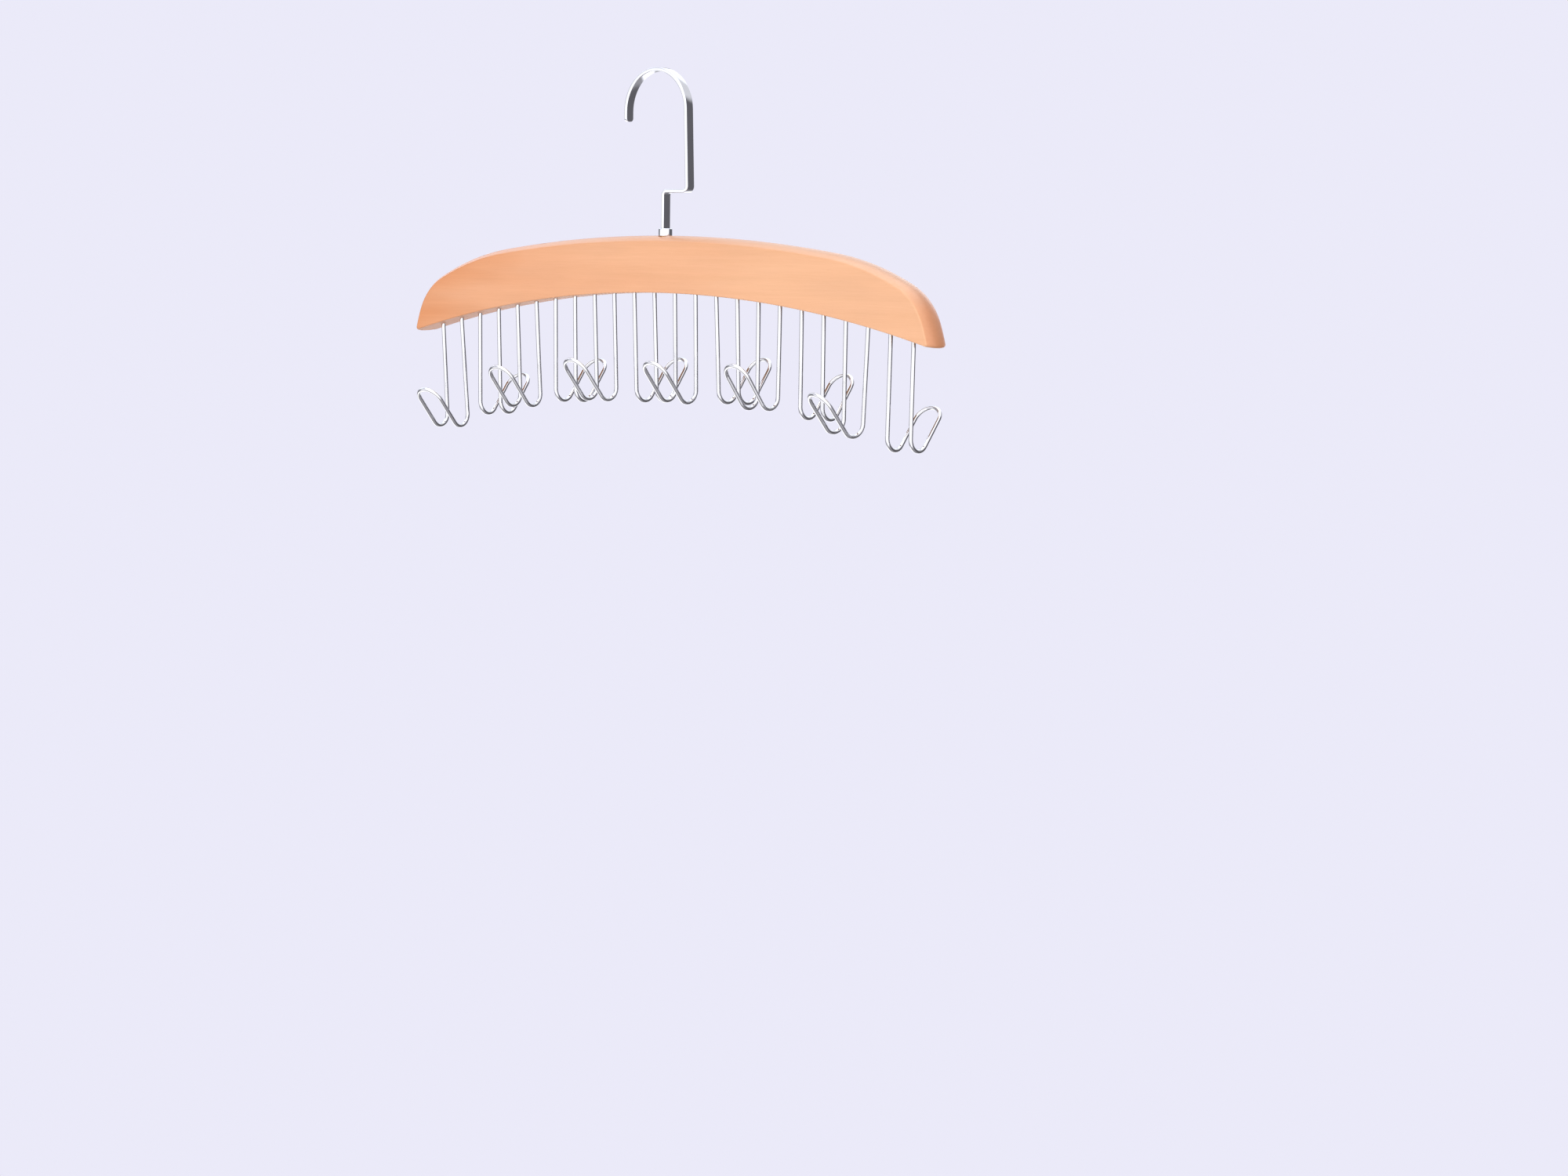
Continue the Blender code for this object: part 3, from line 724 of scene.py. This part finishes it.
class Nodes:
    """Adds shader nodes to a material or a world, by type and inputs."""

    def __init__(self, owner):
        owner.use_nodes = True
        self.tree = owner.node_tree
        self.tree.nodes.clear()

    def add(self, kind, inputs=None, **settings):
        """Add a node. Inputs are plain values or sockets, by name or number."""
        node = self.tree.nodes.new("ShaderNode" + kind)
        for name, value in settings.items():
            setattr(node, name, value)
        for name, value in (inputs or {}).items():
            self.feed(node.inputs[name], value)
        return node

    def feed(self, socket, value):
        """Link an input to another node's output, or set its number, vector or colour."""
        if isinstance(value, bpy.types.NodeSocket):
            self.tree.links.new(value, socket)
        elif socket.type == "RGBA":
            socket.default_value = (*value, 1.0)
        else:
            socket.default_value = value

    def stretched(self, scale):
        """Object coordinates, scaled on each axis."""
        coordinates = self.add("TexCoord")
        return self.add(
            "Mapping", {"Vector": coordinates.outputs["Object"], "Scale": scale}).outputs[0]

    def noise(self, scale, detail=2.0, roughness=0.5, distortion=0.0):
        """Smooth noise from 0 to 1, by its number of features a metre on each axis."""
        return self.add("TexNoise", {
            "Vector": self.stretched(scale), "Scale": 1.0, "Detail": detail,
            "Roughness": roughness, "Distortion": distortion}).outputs["Fac"]

    def ranged(self, value, low, high, to_low=0.0, to_high=1.0):
        """A value spread from one range to another."""
        return self.add("MapRange", {
            "Value": value, "From Min": low, "From Max": high,
            "To Min": to_low, "To Max": to_high}).outputs["Result"]

    def eased(self, value, low, high):
        """A value's share of the way from one end of a range to the other, with soft ends."""
        return self.add(
            "MapRange", {"Value": value, "From Min": low, "From Max": high},
            interpolation_type="SMOOTHSTEP").outputs["Result"]

    def math(self, operation, first, second=0.0):
        """The result of a sum on one or two values."""
        return self.add("Math", {0: first, 1: second}, operation=operation).outputs[0]

    def mix(self, factor, first, second, blend="MIX"):
        """Mix two colours. The node keeps its colour inputs and output behind other kinds."""
        node = self.add(
            "Mix", {0: factor, 6: first, 7: second}, data_type="RGBA", blend_type=blend)
        return node.outputs[2]

    def layer(self, noise, colour, low, high, strength, tone):
        """Darken a colour by a tone where a noise is high."""
        return self.mix(self.ranged(noise, low, high, 0.0, strength), colour, tone, "MULTIPLY")

    def bump(self, height, strength, distance):
        """A normal from a height."""
        return self.add("Bump", {
            "Height": height, "Strength": strength, "Distance": distance}).outputs[0]

    def blend(self, factor, first, second):
        """A shader node between two others."""
        return self.add("MixShader", {0: factor, 1: first.outputs[0], 2: second.outputs[0]})

    def principled(self, inputs):
        """The Principled shader, linked to the material's output."""
        shader = self.add("BsdfPrincipled", inputs)
        self.add("OutputMaterial", {"Surface": shader.outputs[0]})


def wood_material():
    """Pale lacquered wood, straight grained along the bar and deeper in tone at one end."""
    material = bpy.data.materials.new("pale_wood")
    nodes = Nodes(material)
    place = nodes.add("SeparateXYZ", {0: nodes.add("TexCoord").outputs["Object"]}).outputs["X"]
    streaks = nodes.noise(*STREAKS)
    fibres = nodes.noise(*FIBRES)
    drift = nodes.math(
        "ADD", place, nodes.ranged(nodes.noise(*BROAD), 0.3, 0.7, -TONE_DRIFT, TONE_DRIFT))
    colour = nodes.mix(nodes.ranged(drift, *RIGHT_FADE), WOOD_TONES[1], WOOD_TONES[2])
    colour = nodes.mix(nodes.ranged(drift, *LEFT_FADE), WOOD_TONES[0], colour)
    colour = nodes.layer(nodes.noise(*CLOUDS), colour, *CLOUD_LAYER)
    colour = nodes.layer(streaks, colour, *STREAK_LAYER)
    colour = nodes.layer(fibres, colour, *FIBRE_LAYER)
    colour = nodes.layer(nodes.noise(*FLECKS), colour, *FLECK_LAYER)
    facing = nodes.add("SeparateXYZ", {0: nodes.add("TexCoord").outputs["Normal"]}).outputs
    end_grain = nodes.math(
        "MULTIPLY", nodes.ranged(nodes.math("ABSOLUTE", facing["X"]), 0.4, 0.85),
        nodes.ranged(nodes.math("ABSOLUTE", facing["Y"]), 0.7, 0.85, 1.0, 0.0))
    colour = nodes.mix(end_grain, colour, END_GRAIN_TONE, "MULTIPLY")
    level = nodes.ranged(facing["Z"], *UNDERSIDE_FADE, 0.55, 0.38)
    nodes.principled({
        "Base Color": colour,
        "Roughness": nodes.math("ADD", level, nodes.ranged(streaks, 0.3, 0.7, 0.0, 0.05)),
        "Normal": nodes.bump(fibres, 0.15, 0.00003), "Coat Weight": 0.35,
        "Coat Roughness": nodes.ranged(facing["Z"], *UNDERSIDE_FADE, 0.5, 0.25),
        "Specular IOR Level": 0.45})
    return material


def metal_material(name, tone, worn, roughness, scratches, depth):
    """Bright metal: an even tone with fine marks along it."""
    material = bpy.data.materials.new(name)
    nodes = Nodes(material)
    patches = nodes.noise(*PATCHES)
    marks = nodes.noise(scratches, detail=2)
    colour = nodes.mix(nodes.ranged(patches, 0.35, 0.75), tone, worn)
    level = nodes.math(
        "ADD", nodes.ranged(patches, 0.3, 0.7, 0.0, 0.04),
        nodes.ranged(marks, 0.4, 0.7, roughness, roughness + 0.05))
    nodes.principled({
        "Base Color": colour, "Metallic": 1.0, "Roughness": level,
        "Normal": nodes.bump(marks, 0.2, depth)})
    return material


def studio_world():
    """Pale surroundings, with darker and brighter sides that only shiny things show."""
    world = bpy.data.worlds.new("studio")
    bpy.context.scene.world = world
    nodes = Nodes(world)
    direction = nodes.add("TexCoord").outputs["Generated"]
    glossy = BACKGROUND
    for azimuth, elevation, reach, edge, tone in SURROUNDINGS:
        aim = towards(azimuth, elevation)
        facing = nodes.add("VectorMath", {0: direction, 1: aim}, operation="DOT_PRODUCT")
        outer = math.cos(math.radians(reach + edge))
        inner = math.cos(math.radians(reach - edge))
        glossy = nodes.mix(nodes.eased(facing.outputs["Value"], outer, inner), glossy, tone)
    path = nodes.add("LightPath").outputs
    plain = nodes.math("MAXIMUM", path["Is Camera Ray"], path["Is Transmission Ray"])
    lighting = nodes.add("Background", {"Color": SKY_TONE, "Strength": SKY_STRENGTH})
    seen = nodes.add("Background", {"Color": BACKGROUND, "Strength": 1.0})
    reflected = nodes.add("Background", {"Color": glossy, "Strength": 1.0})
    matt = nodes.blend(plain, lighting, seen)
    nodes.add("OutputWorld", {
        "Surface": nodes.blend(path["Is Glossy Ray"], matt, reflected).outputs[0]})


def floor_material(centre):
    """Pale and matt near its centre, and as bright as the background further out."""
    material = bpy.data.materials.new("floor")
    nodes = Nodes(material)
    place = nodes.add("TexCoord").outputs["Object"]
    away = nodes.add("VectorMath", {0: place, 1: centre}, operation="DISTANCE").outputs["Value"]
    surface = nodes.add("BsdfDiffuse", {"Color": FLOOR_TONE})
    beyond = nodes.add("Emission", {"Color": BACKGROUND, "Strength": 1.0})
    nodes.add("OutputMaterial", {
        "Surface": nodes.blend(nodes.eased(away, *FLOOR_FADE), surface, beyond).outputs[0]})
    return material


def make_floor():
    """A pale floor far below, that turns into the plain background further out."""
    shape = bmesh.new()
    centre = Vector((STEM_X, 0, FLOOR_Z))
    rings = [
        circle(centre, FLOOR_RADIUS * share, RIGHT, BACK, FLOOR_SEGMENTS)
        for share in FLOOR_RINGS
    ]
    rows = grid(shape, rings, wrap=True)
    shape.faces.new(rows[0])
    floor = bpy.data.objects.new("floor", mesh_from(shape, "floor"))
    bpy.context.scene.collection.objects.link(floor)
    floor.data.materials.append(floor_material(centre))
    floor.visible_glossy = False
    floor.visible_diffuse = False


def make_lamp(name, azimuth, elevation, power, colour):
    """A square soft lamp aimed at the bar, which shiny things don't show."""
    data = bpy.data.lights.new(name, "AREA")
    data.shape = "SQUARE"
    data.size = LAMP_SIZE
    data.energy = power
    data.color = colour
    lamp = bpy.data.objects.new(name, data)
    bpy.context.scene.collection.objects.link(lamp)
    offset = towards(azimuth, elevation)
    lamp.location = Vector((STEM_X, 0, UNDERSIDE_TOP_Z)) + LAMP_DISTANCE * offset
    lamp.rotation_euler = offset.to_track_quat("Z", "Y").to_euler()
    lamp.visible_glossy = False


def make_camera():
    """The camera at the photographed angle and distance."""
    data = bpy.data.cameras.new("camera")
    data.lens = CAMERA_LENS
    data.sensor_width = SENSOR_WIDTH
    camera = bpy.data.objects.new("camera", data)
    bpy.context.scene.collection.objects.link(camera)
    turn = Matrix.Rotation(CAMERA_TURN, 4, "Z")
    turn @= Matrix.Rotation(math.pi / 2 - CAMERA_PITCH, 4, "X")
    turn @= Matrix.Rotation(CAMERA_ROLL, 4, "Z")
    camera.matrix_world = Matrix.Translation(CAMERA_PLACE) @ turn
    bpy.context.scene.camera = camera


wood = wood_material()
chrome = metal_material("chrome", *CHROME)
bright_wire = metal_material("bright_wire", *BRIGHT_WIRE)
brass = metal_material("bearing_brass", *BRASS)
zinc = metal_material("zinc_steel", *ZINC)

piece("bar_wood", smooth(bar_mesh()), wood, "bar", "pale_wood", "wooden_bar")
piece("hook_strip", smooth(hook_mesh()), chrome, "hook", "chrome", "swivel_hook")
piece("collar", smooth(collar_mesh()), chrome, "hook", "chrome", "hook_collar")
piece("nut", smooth(nut_mesh()), zinc, "hook", "zinc_steel", "lock_nut")
washer = ring_mesh("washer", "thrust_washer", SHANK_RADIUS + BORE_GAP)
piece("washer", smooth(washer), zinc, "bar", "zinc_steel", "thrust_washer")
sleeve = ring_mesh("sleeve", "pivot_sleeve", SHANK_RADIUS + BORE_GAP / 2)
piece("sleeve", smooth(sleeve), brass, "bar", "bearing_brass", "pivot_sleeve")
for index in range(HOOK_COUNT):
    name = f"wire_{index + 1:02d}"
    wire = wire_mesh(name, wire_path(index))
    piece(name, smooth(wire), bright_wire, "bar", "bright_wire", f"wire_hook_{index + 1:02d}")

studio_world()
make_floor()
for lamp in LAMPS:
    make_lamp(*lamp)
make_camera()
bpy.context.scene.view_settings.view_transform = "Standard"
